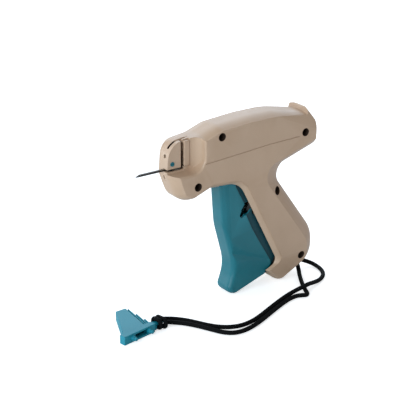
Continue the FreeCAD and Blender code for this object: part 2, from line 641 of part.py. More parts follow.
def ram_slide():
    x0, x1 = SLIDE_X
    z0, z1 = SLIDE_Z
    body = box(x0, x1, -SLIDE_HALF_WIDTH, SLIDE_HALF_WIDTH, z0, z1)
    body = body.cut(box(x0 + 10, x1 - 2.5, -SLIDE_SLOT_HALF, SLIDE_SLOT_HALF, z0 - 1, z1 - SLIDE_ROOF))
    half = PIN_R + 0.4
    body = body.cut(box(LINK_X - half, LINK_X + half, -20, 20, AXIS_Z - half,
                        AXIS_Z + SLIDE_SLOT_RISE))
    return body.cut(shaft(0, AXIS_Z, ROD_R + FIT, x0 - 1, x0 + ROD_SOCKET))


def spring():
    x0, x1 = BULKHEAD_X[1] + 0.1, SLIDE_X[0] - 0.1
    length = x1 - x0 - 2 * SPRING_WIRE_R
    helix = Part.makeHelix(length / SPRING_TURNS, length, SPRING_R)
    circle = Part.Wire(Part.makeCircle(SPRING_WIRE_R, V(SPRING_R, 0, 0), Y_AXIS))
    coil = Part.Wire(helix).makePipeShell([circle], True, True)
    coil.rotate(V(0, 0, 0), Y_AXIS, 90)
    coil.translate(V(x0 + SPRING_WIRE_R, 0, AXIS_Z))
    return coil


def needle():
    tube = shaft(0, AXIS_Z, NEEDLE_R, NEEDLE_TIP_X, NEEDLE_ROOT_X)
    tube = tube.cut(shaft(0, AXIS_Z, NEEDLE_BORE_R, NEEDLE_TIP_X - 1, NEEDLE_ROOT_X + 1))
    tube = tube.cut(box(NEEDLE_TIP_X - 1, NEEDLE_ROOT_X + 1, -2, 0, AXIS_Z - NEEDLE_SLOT / 2,
                        AXIS_Z + NEEDLE_SLOT / 2))
    bevel = [(NEEDLE_TIP_X - 1, AXIS_Z + 2), (NEEDLE_TIP_X - 1, AXIS_Z - 0.9), (NEEDLE_TIP_X, AXIS_Z - 0.75),
             (NEEDLE_TIP_X + 4.5, AXIS_Z + 1), (NEEDLE_TIP_X + 4.5, AXIS_Z + 2)]
    return tube.cut(plate(bevel, -2, 2))


def needle_hub():
    x1 = NEEDLE_ROOT_X
    hub = shaft(0, AXIS_Z, HUB_R, x1 - HUB_LENGTH, x1)
    x0, x1 = x1 - HUB_LENGTH - 1, x1 + 1
    hub = hub.common(box(x0, x1, LINING_Y + 0.1, HUB_R + 1, AXIS_Z - HUB_R - 1, AXIS_Z + HUB_R - 0.6))
    hub = hub.cut(shaft(0, AXIS_Z, NEEDLE_R + FIT, x0, x1))
    return hub.cut(box(x0, x1, -HUB_R - 1, 0, AXIS_Z - NEEDLE_SLOT / 2, AXIS_Z + NEEDLE_SLOT / 2))


def needle_lock():
    button = pin(LOCK_AT, LOCK_R, POCKET_Y - 0.35, LINING_Y + 0.1)
    cam = pin(LOCK_AT, LOCK_R - 0.2, LINING_Y + 0.1, LINING_Y + 1.0)
    arm = box(LOCK_AT[0] - 0.5, LOCK_AT[0] + 0.5, LINING_Y + 0.1, LINING_Y + 1.0, LOCK_AT[1],
              LOCK_AT[1] + 3.2)
    slit = box(LOCK_AT[0] - 2, LOCK_AT[0] + 2, POCKET_Y - 1, POCKET_Y + 0.1, LOCK_AT[1] - 0.25,
               LOCK_AT[1] + 0.25)
    return fuse([button, cam, arm]).cut(slit)


def cutter_blade():
    return plate(BLADE, FEED_HALF_WIDTH + 0.1, FEED_HALF_WIDTH + 0.5)


def feed_wheel():
    wheel = shaft(WHEEL_Y, AXIS_Z, WHEEL_R, *WHEEL_X)
    for k in range(WHEEL_TEETH):
        a = 2 * math.pi * k / WHEEL_TEETH
        wheel = wheel.cut(shaft(WHEEL_Y + WHEEL_R * math.cos(a), AXIS_Z + WHEEL_R * math.sin(a),
                                WHEEL_NOTCH_R, WHEEL_X[0] - 1, WHEEL_X[1] + 1))
    return wheel.cut(shaft(WHEEL_Y, AXIS_Z, AXLE_R + FIT, WHEEL_X[0] - 1, WHEEL_X[1] + 1))


def feed_pawl():
    x0, x1 = WHEEL_X[0] + 0.6, WHEEL_X[1] - 0.6
    foot = box(x0, x1, WHEEL_Y - 2.6, WHEEL_Y + 0.6, PAWL_Z, PAWL_Z + PAWL_HEIGHT)
    return foot.cut(plate([(x0 - 1, PAWL_Z - 1), (x0 - 1, PAWL_Z + 0.8), (x0 + 0.8, PAWL_Z - 1)], -20, 20))


def detent_spring():
    x0, x1 = WHEEL_X[0] + 1.2, WHEEL_X[1] - 1.2
    leaf = box(x0, x1, 1.6, HALF_WIDTH - WALL - 0.05, DETENT_Z, DETENT_Z + 0.4)
    bump = shaft(WHEEL_Y, DETENT_Z + 0.9, 0.5, x0, x1)
    stem = box(x0, x1, WHEEL_Y - 0.5, WHEEL_Y + 0.5, DETENT_Z + 0.2, DETENT_Z + 0.9)
    return fuse([leaf, stem, bump])


def cap_corner(u, v, z=0.0):
    a = math.radians(CAP_TURN)
    return V(CAP_AT[0] + u * math.cos(a) - v * math.sin(a), CAP_AT[1] + u * math.sin(a) + v * math.cos(a), z)


def cap_prism(points, z0, z1):
    path = [cap_corner(u, v, z0) for u, v in points]
    return Part.Face(Part.makePolygon(path + [path[0]])).extrude(V(0, 0, z1 - z0))


def needle_cap():
    """Needle guard that lies on its flat side: a flange with two pins, a hollow wedge and a tab."""
    length, depth = CAP_FLANGE
    h = CAP_HEIGHT
    flange = cap_prism([(0, 0), (length, 0), (length, depth), (0, depth)], 0, h)
    wedge = cap_prism([(2.6, depth - 0.1), (21.0, depth - 0.1), (28.6, 30.4), (20.8, 31.4)], 0, h)
    ribs_ = []
    lean = (28.6 - 21.0) / (30.4 - depth)
    for k in range(3):
        near = 21.7 + CAP_RIB[1] * k
        end = 28.5 - CAP_RIB_STEP * k
        shift = lean * (end - depth)
        far = near + CAP_RIB[0]
        for u0, u1, top in ((near, far, h), (20.0, far, h - CAP_RIB[2])):
            ribs_.append(cap_prism([(u0, depth - 0.1), (u1, depth - 0.1), (u1 + shift, end), (u0 + shift, end)],
                                   0, top))
    tab = cap_prism([(length - 1, TAB_V[0]), (TAB_END_U, TAB_V[0]), (TAB_END_U, TAB_V[1]),
                     (length - 1, TAB_V[1])], *TAB_Z)
    knee = cap_prism([(length - 0.1, 0.6), (length + 2.6, 0.9), (length + 2.6, depth - 0.2),
                      (length - 0.1, depth)],
                     0.6, h - 0.7)
    body = fuse([flange, wedge, tab, knee] + ribs_)
    w = CAP_WALL
    inside = cap_prism([(9.4, -1), (20.6, -1), (20.6, depth), (26.2, 28.4), (21.4, 28.8), (9.4, depth + 3)],
                       w, h - w)
    body = body.cut(inside)
    pins = []
    for u in (CAP_PIN_U, CAP_PIN_U - (FACE_HOLE_Z - FACE_SLOT_Z)):
        start = cap_corner(u, 0.5, h / 2)
        way = cap_corner(u, -CAP_PIN_REACH, h / 2) - start
        pins.append(Part.makeCylinder(FACE_HOLE_R - 0.1, way.Length, start, way))
        foot, reach = CAP_PIN_FOOT
        pins.append(Part.makeCylinder(foot, reach + 0.5, start, way))
    return fuse([body] + pins)


def tube(points, radius, name):
    """Round cord along straight runs joined by tangent arcs."""
    pts = [V(*p) for p in points]
    edges = []
    last = pts[0]
    radii = []
    for i in range(1, len(pts) - 1):
        d1 = pts[i] - pts[i - 1]
        d2 = pts[i + 1] - pts[i]
        shorter = min(d1.Length, d2.Length)
        d1.normalize()
        d2.normalize()
        turn = d1.getAngle(d2)
        reach = 0.45 * shorter
        bend = reach / math.tan(turn / 2)
        radii.append(bend)
        start = pts[i] - d1 * reach
        end = pts[i] + d2 * reach
        inward = d2 - d1
        inward.normalize()
        middle = pts[i] + inward * (bend / math.cos(turn / 2) - bend)
        edges.append(Part.LineSegment(last, start).toShape())
        edges.append(Part.Arc(start, middle, end).toShape())
        last = end
    edges.append(Part.LineSegment(last, pts[-1]).toShape())
    path = Part.Wire(edges)
    circle = Part.Wire(Part.makeCircle(radius, pts[0], pts[1] - pts[0]))
    solid = path.makePipeShell([circle], True, False)
    expected = math.pi * radius ** 2 * path.Length
    print(name, "length", round(path.Length, 1), "volume share", round(solid.Volume / expected, 3),
          "radii", [round(r, 1) for r in radii])
    return solid


STRAND_A = [
    (61.9, 1.7, 13.0), (64.8, 1.8, 8.2), (70.4, 1.7, 4.9), (76.2, -0.6, 2.3), (77.2, -7.2, 1.5),
    (75.2, -15.2, 1.5), (70.8, -21.8, 1.5), (63.8, -26.2, 1.5), (56.0, -28.9, 2.6), (50.0, -31.7, 4.5),
    (44.6, -33.6, 5.0), (39.0, -33.4, 4.0), (34.0, -32.4, 2.2), (28.8, -33.2, 1.5), (21.6, -36.0, 1.5),
    (13.6, -39.4, 1.5), (5.4, -43.0, 1.5), (-3.0, -46.9, 1.5), (-13.0, -50.6, 1.5), (-22.4, -51.6, 1.5),
    (-30.0, -49.2, 1.5), (-35.6, -44.8, 1.5), (-39.8, -39.2, 1.5), (-43.2, -32.6, 1.5), (-46.8, -25.8, 1.5),
    (-51.2, -20.0, 1.5), (-56.8, -16.6, 2.1), (-62.7, -16.3, 3.4),
]
STRAND_B = [
    (61.2, -1.7, 12.8), (61.9, -2.1, 7.8), (60.8, -6.2, 3.4), (57.4, -11.6, 1.5), (52.6, -19.4, 1.5),
    (48.2, -27.2, 1.5), (44.8, -34.4, 1.5), (43.0, -38.7, 1.5), (40.8, -39.9, 1.5), (38.2, -38.3, 1.5),
    (34.2, -36.9, 1.5), (27.4, -38.0, 1.5), (19.6, -40.9, 1.5), (11.4, -44.4, 1.5), (3.0, -48.2, 1.5),
    (-6.0, -52.4, 1.5), (-16.0, -56.4, 1.5), (-26.0, -58.5, 1.5), (-33.4, -57.0, 1.5), (-38.4, -51.8, 1.5),
    (-41.6, -44.8, 1.5), (-45.2, -37.4, 1.5), (-49.2, -30.0, 1.5), (-54.4, -23.8, 1.5), (-61.0, -19.8, 2.2),
]


def cord_knot():
    """Two turns of the cord round the tab of the cap."""
    solids = []
    away = CORD_R + KNOT_GAP
    z0, z1 = TAB_Z[0] - away, TAB_Z[1] + away
    r = away
    for u, slack in KNOT_TURNS:
        v0, v1 = TAB_V[0] - away - slack, TAB_V[1] + away
        corners = [(v0, z0), (v0, z1), (v1, z1), (v1, z0)]
        edges = []
        arcs = []
        for i in range(4):
            before, here, after = corners[i - 1], corners[i], corners[(i + 1) % 4]
            d1 = unit(before, here)
            d2 = unit(here, after)
            k = r * (1 - math.sqrt(0.5))
            arcs.append([cap_corner(u, here[0] - d1[0] * r, here[1] - d1[1] * r),
                         cap_corner(u, here[0] + (d2[0] - d1[0]) * k, here[1] + (d2[1] - d1[1]) * k),
                         cap_corner(u, here[0] + d2[0] * r, here[1] + d2[1] * r)])
        for i in range(4):
            edges.append(Part.Arc(*arcs[i]).toShape())
            edges.append(Part.LineSegment(arcs[i][2], arcs[(i + 1) % 4][0]).toShape())
        path = Part.Wire(edges)
        start = edges[0].Vertexes[0].Point
        along = edges[0].tangentAt(edges[0].FirstParameter)
        ring = path.makePipeShell([Part.Wire(Part.makeCircle(CORD_R, start, along))], True, False)
        solids.append(ring)
    return Part.makeCompound(solids)


def export(name, shape):
    shape = shape.copy()
    shape.translate(V(-MIDDLE_X, 0, 0))
    solids = shape.Solids
    if not shape.isValid() or not solids:
        print("NOT VALID", name, len(solids))
    box_ = shape.BoundBox
    print("%-18s solids %d  x %.1f %.1f  y %.1f %.1f  z %.1f %.1f" % (
        name, len(solids), box_.XMin, box_.XMax, box_.YMin, box_.YMax, box_.ZMin, box_.ZMax))
    shape.exportStep("parts/" + name + ".step")


def main():
    os.makedirs("parts", exist_ok=True)
    left, cheek = left_housing()
    export("left_housing", left)
    export("right_housing", right_housing(cheek))
    export("housing_screws", screws())
    export("trigger", trigger())
    export("trigger_pin", pin(TRIGGER_PIVOT, PIN_R, -PIN_HALF, PIN_HALF))
    export("drive_lever", drive_lever())
    export("lever_pin", pin(LEVER_PIVOT, PIN_R, -PIN_HALF, PIN_HALF))
    export("cam_rollers", cam_rollers())
    export("cam_roller_pin", cam_roller_pin())
    export("link_pin", pin((LINK_X, AXIS_Z), PIN_R, -SLIDE_HALF_WIDTH + 0.2, SLIDE_HALF_WIDTH - 0.2))
    export("ram_slide", ram_slide())
    export("ejector_rod", shaft(0, AXIS_Z, ROD_R, ROD_TIP_X, SLIDE_X[0] + ROD_SOCKET - 0.1))
    export("slide_return_spring", spring())
    export("rod_bushing", shaft(0, AXIS_Z, BUSHING_R, *BULKHEAD_X).cut(
        shaft(0, AXIS_Z, ROD_R + FIT, BULKHEAD_X[0] - 1, BULKHEAD_X[1] + 1)))
    export("needle", needle())
    export("needle_hub", needle_hub())
    export("needle_lock", needle_lock())
    export("cutter_blade", cutter_blade())
    export("feed_gate", gate_space(0.0))
    export("feed_wheel", feed_wheel())
    export("feed_axle", shaft(WHEEL_Y, AXIS_Z, AXLE_R, AXLE_X[0] + 0.1, AXLE_X[1] - 0.1))
    export("feed_pawl", feed_pawl())
    export("detent_spring", detent_spring())
    export("lanyard_bar", pin(BAR_AT, BAR_R, -PIN_HALF + 1.5, PIN_HALF - 1.5))
    export("cord_strand_a", tube(STRAND_A, CORD_R, "cord_strand_a"))
    export("cord_strand_b", tube(STRAND_B, CORD_R, "cord_strand_b"))
    export("cord_knot", cord_knot())
    export("needle_cap", needle_cap())


main()
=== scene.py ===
"""Looks of the garment tag attacher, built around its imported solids.

Metres, +Z up, needle towards -X. Measures that end in * MM, and the points that go
through place(), are written in millimetres.
"""

import math

import bpy
import bmesh
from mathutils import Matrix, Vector
from mathutils.geometry import intersect_point_line


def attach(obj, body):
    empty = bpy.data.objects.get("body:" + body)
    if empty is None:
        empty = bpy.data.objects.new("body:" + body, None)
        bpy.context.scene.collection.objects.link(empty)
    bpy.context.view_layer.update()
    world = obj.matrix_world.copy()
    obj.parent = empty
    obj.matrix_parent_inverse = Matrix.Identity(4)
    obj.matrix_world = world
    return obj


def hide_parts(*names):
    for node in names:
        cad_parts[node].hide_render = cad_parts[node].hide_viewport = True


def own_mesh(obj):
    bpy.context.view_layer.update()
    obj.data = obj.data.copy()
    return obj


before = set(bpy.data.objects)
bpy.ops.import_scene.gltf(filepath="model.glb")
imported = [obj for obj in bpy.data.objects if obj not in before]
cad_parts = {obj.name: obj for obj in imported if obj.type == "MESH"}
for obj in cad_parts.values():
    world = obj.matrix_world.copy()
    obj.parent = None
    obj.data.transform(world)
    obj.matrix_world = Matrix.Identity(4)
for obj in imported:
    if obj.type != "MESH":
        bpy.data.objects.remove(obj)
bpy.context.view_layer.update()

MM = 0.001
MIDDLE_X = 1.13 * MM          # the frame's origin, on the X axis of the tool's own drawing


def place(x, y, z):
    """A point of the tool's own drawing, in millimetres, in the frame's metres."""
    return Vector((x * MM - MIDDLE_X, y * MM, z * MM))


def look_at(thing, aim):
    """Turn a camera or a lamp towards a point."""
    thing.rotation_euler = (aim - thing.location).to_track_quat("-Z", "Y").to_euler()


# Camera

CAMERA_PLACE = (-490.03, -683.55, 400.05)
CAMERA_AIM = (-11.4, 0.0, 62.9)
LENS = 115.714                # millimetres
SENSOR_WIDTH = 36.0
NEAREST, FARTHEST = 0.01, 20.0


def set_camera():
    data = bpy.data.cameras.new("view")
    data.lens = LENS
    data.sensor_width = SENSOR_WIDTH
    data.clip_start = NEAREST
    data.clip_end = FARTHEST
    camera = bpy.data.objects.new("view", data)
    bpy.context.scene.collection.objects.link(camera)
    camera.location = place(*CAMERA_PLACE)
    look_at(camera, place(*CAMERA_AIM))
    bpy.context.scene.camera = camera


set_camera()


# Materials

COLOUR_A, COLOUR_B, COLOUR_OUT = 6, 7, 2     # sockets of a Mix node, whose names repeat


class Value:
    """A socket of a material, for sums written as Python expressions."""

    def __init__(self, maker, socket):
        self.maker = maker
        self.socket = socket

    def _math(self, operation, first, second):
        return self.maker.node("ShaderNodeMath", {0: first, 1: second}, operation=operation)

    def __add__(self, other):
        return self._math("ADD", self, other)

    def __radd__(self, other):
        return self._math("ADD", other, self)

    def __sub__(self, other):
        return self._math("SUBTRACT", self, other)

    def __rsub__(self, other):
        return self._math("SUBTRACT", other, self)

    def __mul__(self, other):
        return self._math("MULTIPLY", self, other)

    def __rmul__(self, other):
        return self._math("MULTIPLY", other, self)


class Nodes:
    """One node tree, which starts empty."""

    def __init__(self, tree):
        self.tree = tree
        self.tree.nodes.clear()

    def feed(self, socket, value):
        if isinstance(value, Value):
            self.tree.links.new(value.socket, socket)
        else:
            socket.default_value = value

    def node(self, kind, sockets=None, out=0, **settings):
        node = self.tree.nodes.new(kind)
        for key, value in settings.items():
            setattr(node, key, value)
        for key, value in (sockets or {}).items():
            self.feed(node.inputs[key], value)
        return Value(self, node.outputs[out])

    def output(self, kind, surface):
        self.feed(self.tree.nodes.new(kind).inputs["Surface"], surface)


class Finish(Nodes):
    """A material that is being made: a Principled shader and what feeds it."""

    def __init__(self, name, **settings):
        self.material = bpy.data.materials.new(name)
        self.material.use_nodes = True
        super().__init__(self.material.node_tree)
        self.shader = self.tree.nodes.new("ShaderNodeBsdfPrincipled")
        self.output("ShaderNodeOutputMaterial", Value(self, self.shader.outputs[0]))
        for key, value in settings.items():
            self.set(key.replace("_", " ").title().replace("Ior", "IOR"), value)

    def set(self, name, value):
        self.feed(self.shader.inputs[name], value)

    def spot(self, scale=(1, 1, 1)):
        """Object coordinates, stretched by scale."""
        source = self.node("ShaderNodeTexCoord", out="Object")
        return self.node("ShaderNodeMapping", {"Vector": source, "Scale": scale})

    def noise(self, scale, detail=2.0, rough=0.5, at=None):
        return self.node("ShaderNodeTexNoise", {"Vector": at or self.spot(), "Scale": scale,
                                                "Detail": detail, "Roughness": rough})

    def ramp(self, value, low, high):
        """0 where value is low or less, 1 where it is high or more."""
        return self.node("ShaderNodeMapRange", {"Value": value, "From Min": low, "From Max": high})

    def mix(self, factor, first, second):
        return self.node("ShaderNodeMix", {"Factor": factor, COLOUR_A: first, COLOUR_B: second},
                         out=COLOUR_OUT, data_type="RGBA")

    def bump(self, height, strength, distance, normal=None):
        sockets = {"Height": height, "Strength": strength, "Distance": distance}
        if normal:
            sockets["Normal"] = normal
        return self.node("ShaderNodeBump", sockets)


def rgb(red, green, blue):
    """Screen colour, 0 to 255, as the shader's linear colour, by the sRGB curve."""
    def linear(level):
        level = level / 255
        return level / 12.92 if level <= 0.04045 else ((level + 0.055) / 1.055) ** 2.4
    return (linear(red), linear(green), linear(blue), 1)


def grey(level):
    """A linear grey."""
    return (level, level, level, 1)


# Scales of the noises, in waves per metre
DRIFT = 45.0                  # slow change of colour
CLOUDS = 180.0
STAINS = 700.0
SCUFFS = 900.0
COARSE_GRAIN = 1700.0
NYLON_GRAIN = 3000.0
FLUFF = 4200.0
FINE_GRAIN = 5200.0
DRAWN_LINES = (250, 9000, 9000)

# Where each mark sets in and where it is full
DRIFT_RANGE = (0.35, 0.7)
STAIN_RANGE = (0.45, 0.75)
SCUFF_RANGE = (0.6, 0.78)
EDGE_RANGE = (0.53, 0.62)     # of pointiness, which is 0.5 on a flat face

EDGE_WEAR = 0.35              # how far rubbed edges go to the worn colour
SCUFF_WEAR = 0.10             # the same for scuffs

SOFT_EDGE = 0.4 * MM          # radius that the shading gives to moulded edges
GRAIN_DEPTH = 0.06 * MM
DRAWN_DEPTH = 0.03 * MM
NYLON_DEPTH = 0.05 * MM
WEAVE_DEPTH = 0.12 * MM

YARNS_ALONG = 130             # waves of each set of yarns along the cord
YARNS_AROUND = 6              # and around it


def moulded_plastic(name, colour, worn, dusty, roughness, grain):
    """Satin plastic with spark-eroded grain, slow colour drift and rubbed, soft edges."""
    finish = Finish(name, ior=1.5)
    drift = finish.noise(DRIFT, detail=3.0)
    fine = finish.noise(FINE_GRAIN, detail=1.0)
    scuff = finish.ramp(finish.noise(SCUFFS, detail=4.0, rough=0.62), *SCUFF_RANGE)
    edge = finish.ramp(finish.node("ShaderNodeNewGeometry", out="Pointiness"), *EDGE_RANGE)
    body = finish.mix(finish.ramp(drift, *DRIFT_RANGE), colour, dusty)
    body = finish.mix(edge * EDGE_WEAR, body, worn)
    finish.set("Base Color", finish.mix(scuff * SCUFF_WEAR, body, worn))
    finish.set("Roughness", roughness + 0.10 * (drift - 0.5) + 0.10 * scuff)
    soft = finish.node("ShaderNodeBevel", {"Radius": SOFT_EDGE}, samples=6)
    height = fine + 0.6 * finish.noise(COARSE_GRAIN)
    finish.set("Normal", finish.bump(height, grain, GRAIN_DEPTH, normal=soft))
    return finish.material


def drawn_steel(name, colour, dark, roughness):
    """Steel with fine lines along X and a few dark stains."""
    finish = Finish(name, metallic=1.0)
    lines = finish.noise(1.0, detail=3.0, at=finish.spot(DRAWN_LINES))
    stain = finish.ramp(finish.noise(STAINS, detail=4.0), *STAIN_RANGE)
    finish.set("Base Color", finish.mix(0.5 * stain + 0.3 * lines, colour, dark))
    finish.set("Roughness", roughness + 0.18 * (lines - 0.5) + 0.12 * stain)
    finish.set("Normal", finish.bump(lines, 0.12, DRAWN_DEPTH))
    return finish.material


def natural_nylon():
    """Cloudy off-white nylon, as it comes from the mould."""
    finish = Finish("natural_nylon", ior=1.5)
    cloud = finish.noise(CLOUDS, detail=3.0)
    finish.set("Base Color", finish.mix(cloud, rgb(214, 209, 196), rgb(232, 229, 220)))
    finish.set("Roughness", 0.42 + 0.1 * (cloud - 0.5))
    finish.set("Normal", finish.bump(finish.noise(NYLON_GRAIN), 0.08, NYLON_DEPTH))
    return finish.material


def braided_cord():
    """Black braid: two sets of slanted yarns that cross, along the piece's UV map."""
    finish = Finish("braided_cord", ior=1.45, specular_ior_level=0.12)
    coords = finish.node("ShaderNodeTexCoord", out="UV")
    along = finish.node("ShaderNodeSeparateXYZ", {0: coords}, out="X") * (math.tau * YARNS_ALONG)
    around = finish.node("ShaderNodeSeparateXYZ", {0: coords}, out="Y") * (math.tau * YARNS_AROUND)

    def wave(value):
        return 0.5 + 0.5 * finish.node("ShaderNodeMath", {0: value}, operation="SINE")

    weave = finish.node("ShaderNodeMath", {0: wave(along + around), 1: wave(along - around)},
                        operation="MAXIMUM")
    fluff = finish.noise(FLUFF, detail=3.0, rough=0.7)
    finish.set("Base Color", finish.mix(0.55 * weave + 0.45 * fluff, rgb(1, 1, 2), rgb(12, 12, 13)))
    finish.set("Roughness", 0.72 + 0.2 * (fluff - 0.5))
    finish.set("Normal", finish.bump(weave + 0.4 * fluff, 0.55, WEAVE_DEPTH))
    return finish.material


# Dark brown copy of the housing plastic: painted shade for the screw recesses and the slot at the
# front of the nose
PAINTED_SHADE = moulded_plastic("recess_painted_shade", rgb(62, 44, 30), rgb(80, 60, 44), rgb(50, 36, 26),
                         roughness=0.6, grain=0.10)
HOUSING = moulded_plastic("beige_plastic", rgb(193, 162, 134), rgb(208, 182, 158),
                          rgb(187, 156, 128), roughness=0.38, grain=0.10)
TEAL = moulded_plastic("teal_plastic", rgb(4, 108, 119), rgb(50, 152, 166), rgb(3, 102, 113),
                       roughness=0.38, grain=0.07)
CAP = moulded_plastic("teal_cap_plastic", rgb(0, 134, 152), rgb(40, 160, 176), rgb(0, 126, 144),
                      roughness=0.5, grain=0.06)
# Dark teal copy of the trigger plastic: painted shade for the gap between the trigger and the
# grip's rim
STEP_SHADE = moulded_plastic("teal_painted_gap_shade", rgb(2, 66, 75), rgb(12, 84, 92), rgb(1, 60, 69),
                       roughness=0.6, grain=0.07)
DARK = moulded_plastic("dark_acetal", rgb(26, 24, 22), rgb(50, 48, 46), rgb(22, 20, 18),
                       roughness=0.5, grain=0.08)
NEEDLE = drawn_steel("needle_steel", (0.33, 0.32, 0.31, 1), (0.06, 0.055, 0.05, 1),
                     roughness=0.26)
STEEL = drawn_steel("zinc_steel", (0.46, 0.45, 0.44, 1), (0.20, 0.18, 0.15, 1),
                    roughness=0.38)
SCREW = drawn_steel("screw_steel", (0.045, 0.035, 0.028, 1), (0.02, 0.016, 0.012, 1),
                    roughness=0.5)
NYLON = natural_nylon()
CORD = braided_cord()


# Cord

CORD_RADIUS = 1.5 * MM

STRAND_A = [
    (61.9, 1.7, 13.0), (64.8, 1.8, 8.2), (70.4, 1.7, 4.9), (76.2, -0.6, 2.3),
    (77.2, -7.2, 1.5), (75.2, -15.2, 1.5), (70.8, -21.8, 1.5), (63.8, -26.2, 1.5),
    (56.0, -28.9, 2.6), (50.0, -31.7, 4.5), (44.6, -33.6, 5.0), (39.0, -33.4, 4.0),
    (34.0, -32.4, 2.2), (28.8, -33.2, 1.5), (21.6, -36.0, 1.5), (13.6, -39.4, 1.5),
    (5.4, -43.0, 1.5), (-3.0, -46.9, 1.5), (-13.0, -50.6, 1.5), (-22.4, -51.6, 1.5),
    (-30.0, -49.2, 1.5), (-35.6, -44.8, 1.5), (-39.8, -39.2, 1.5), (-43.2, -32.6, 1.5),
    (-46.8, -25.8, 1.5), (-51.2, -20.0, 1.5), (-56.8, -16.6, 2.1), (-62.7, -16.3, 3.4),
]
STRAND_B = [
    (61.2, -1.7, 12.8), (61.9, -2.1, 7.8), (60.8, -6.2, 3.4), (57.4, -11.6, 1.5),
    (52.6, -19.4, 1.5), (48.2, -27.2, 1.5), (44.8, -34.4, 1.5), (43.0, -38.7, 1.5),
    (40.8, -39.9, 1.5), (38.2, -38.3, 1.5), (34.2, -36.9, 1.5), (27.4, -38.0, 1.5),
    (19.6, -40.9, 1.5), (11.4, -44.4, 1.5), (3.0, -48.2, 1.5), (-6.0, -52.4, 1.5),
    (-16.0, -56.4, 1.5), (-26.0, -58.5, 1.5), (-33.4, -57.0, 1.5), (-38.4, -51.8, 1.5),
    (-41.6, -44.8, 1.5), (-45.2, -37.4, 1.5), (-49.2, -30.0, 1.5), (-54.4, -23.8, 1.5),
    (-61.0, -19.8, 2.2),
]
STRANDS = {                   # CAD node, route, and length in metres
    "strand_a": ("cord_strand_a", STRAND_A, 0.1975),
    "strand_b": ("cord_strand_b", STRAND_B, 0.176),
}


def strand(name, points):
    """One strand of the lanyard, a smooth line from the grip to the floor and the cap."""
    curve = bpy.data.curves.new(name, "CURVE")
    curve.dimensions = "3D"
    curve.bevel_depth = CORD_RADIUS
    curve.bevel_resolution = 6
    curve.resolution_u = 10
    curve.use_fill_caps = True
    spline = curve.splines.new("NURBS")
    spline.points.add(len(points) - 1)
    for control, point in zip(spline.points, points):
        control.co = (*place(*point), 1)
    spline.order_u = 3
    spline.use_endpoint_u = True
    piece = bpy.data.objects.new(name, curve)
    bpy.context.scene.collection.objects.link(piece)
    curve.materials.append(CORD)
    return piece


cords = {name: strand(name, route) for name, (_, route, _) in STRANDS.items()}


# Moulded and turned pieces, from the solids

MERGE = 0.004 * MM            # points of a solid's mesh that are nearer than this are one
LEVEL = 0.6                   # degrees; flatter edges are dissolved before a rounding
CREASE = 11.8                 # degrees; the arcs of the solids have flatter strips than this
TRIGGER_CREASE = 29.0
ROUNDED = 30.0                # degrees; sharper edges are rounded
SIDEWAYS = 0.93               # least share of Y in the normal of a face of the sides

# How much of the room round an edge its rounding takes
SHARE_ACROSS = 0.42           # of the way to the next rounded edge
SHARE_ALONG = 0.45            # of an edge that leaves its end
TURNED_OFF = 0.8              # cosine; such an edge turns off further than this
LEAST_SHARE = 0.05


def room_at(edge, rounded, width):
    """How wide the rounding of an edge can be, up to width, before it meets another one."""
    start, end = edge.verts[0].co, edge.verts[1].co
    middle = (start + end) / 2
    way = (end - start).normalized()
    room = width
    for face in edge.link_faces:
        for other in face.edges:
            if other not in rounded or set(other.verts) & set(edge.verts):
                continue
            near, share = intersect_point_line(middle, other.verts[0].co, other.verts[1].co)
            if 0.0 <= share <= 1.0:
                room = min(room, SHARE_ACROSS * (near - middle).length)
    for vert in edge.verts:
        for other in vert.link_edges:
            if other is not edge and other in rounded:
                other_way = (other.verts[1].co - other.verts[0].co).normalized()
                if abs(other_way.dot(way)) < TURNED_OFF:
                    room = min(room, SHARE_ALONG * other.calc_length())
    return room


def weigh_edges(mesh, width):
    """Store each edge's share of the full rounding, and mark the creases in the sides."""
    shape = bmesh.new()
    shape.from_mesh(mesh)
    weight = shape.edges.layers.float.new("bevel_weight_edge")
    between = [edge for edge in shape.edges if len(edge.link_faces) == 2]
    rounded = {edge for edge in between if edge.calc_face_angle() > math.radians(ROUNDED)}
    for edge in rounded:
        edge[weight] = max(room_at(edge, rounded, width) / width, LEAST_SHARE)
    for edge in between:
        if all(abs(face.normal.y) > SIDEWAYS for face in edge.link_faces):
            if edge.calc_face_angle() > math.radians(CREASE):
                edge.smooth = False
    shape.to_mesh(mesh)
    shape.free()


def round_edges(piece, width):
    """Round the sharp edges of a piece, each as far as it has room."""
    weigh_edges(piece.data, width)
    bevel = piece.modifiers.new("edges", "BEVEL")
    bevel.width = width
    bevel.segments = 2
    bevel.limit_method = "WEIGHT"
    bevel.use_clamp_overlap = False
    bevel.miter_outer = "MITER_ARC"
    bpy.ops.object.modifier_apply(modifier="edges")


def finished(name, node, body, material, rounding=0, crease=CREASE):
    """A merged copy of a node's mesh, which stands for the node.

    The rounding is the width of its rounded edges. Without one, only the material
    softens them.
    """
    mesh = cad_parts[node].data.copy()
    piece = bpy.data.objects.new(name, mesh)
    bpy.context.scene.collection.objects.link(piece)
    mesh.materials.clear()
    mesh.materials.append(material)
    bpy.ops.object.select_all(action="DESELECT")
    piece.select_set(True)
    bpy.context.view_layer.objects.active = piece
    bpy.ops.object.mode_set(mode="EDIT")
    bpy.ops.mesh.select_all(action="SELECT")
    bpy.ops.mesh.remove_doubles(threshold=MERGE)
    if rounding:
        bpy.ops.mesh.dissolve_limited(angle_limit=math.radians(LEVEL))
    bpy.ops.mesh.customdata_custom_splitnormals_clear()
    bpy.ops.object.mode_set(mode="OBJECT")
    bpy.ops.object.shade_smooth_by_angle(angle=math.radians(crease))
    if rounding:
        round_edges(piece, rounding)
    piece.modifiers.new("normals", "WEIGHTED_NORMAL").keep_sharp = True
    bpy.ops.object.modifier_apply(modifier="normals")
    for polygon in mesh.polygons:
        polygon.material_index = 0
    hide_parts(node)
    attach(piece, body)
    return piece


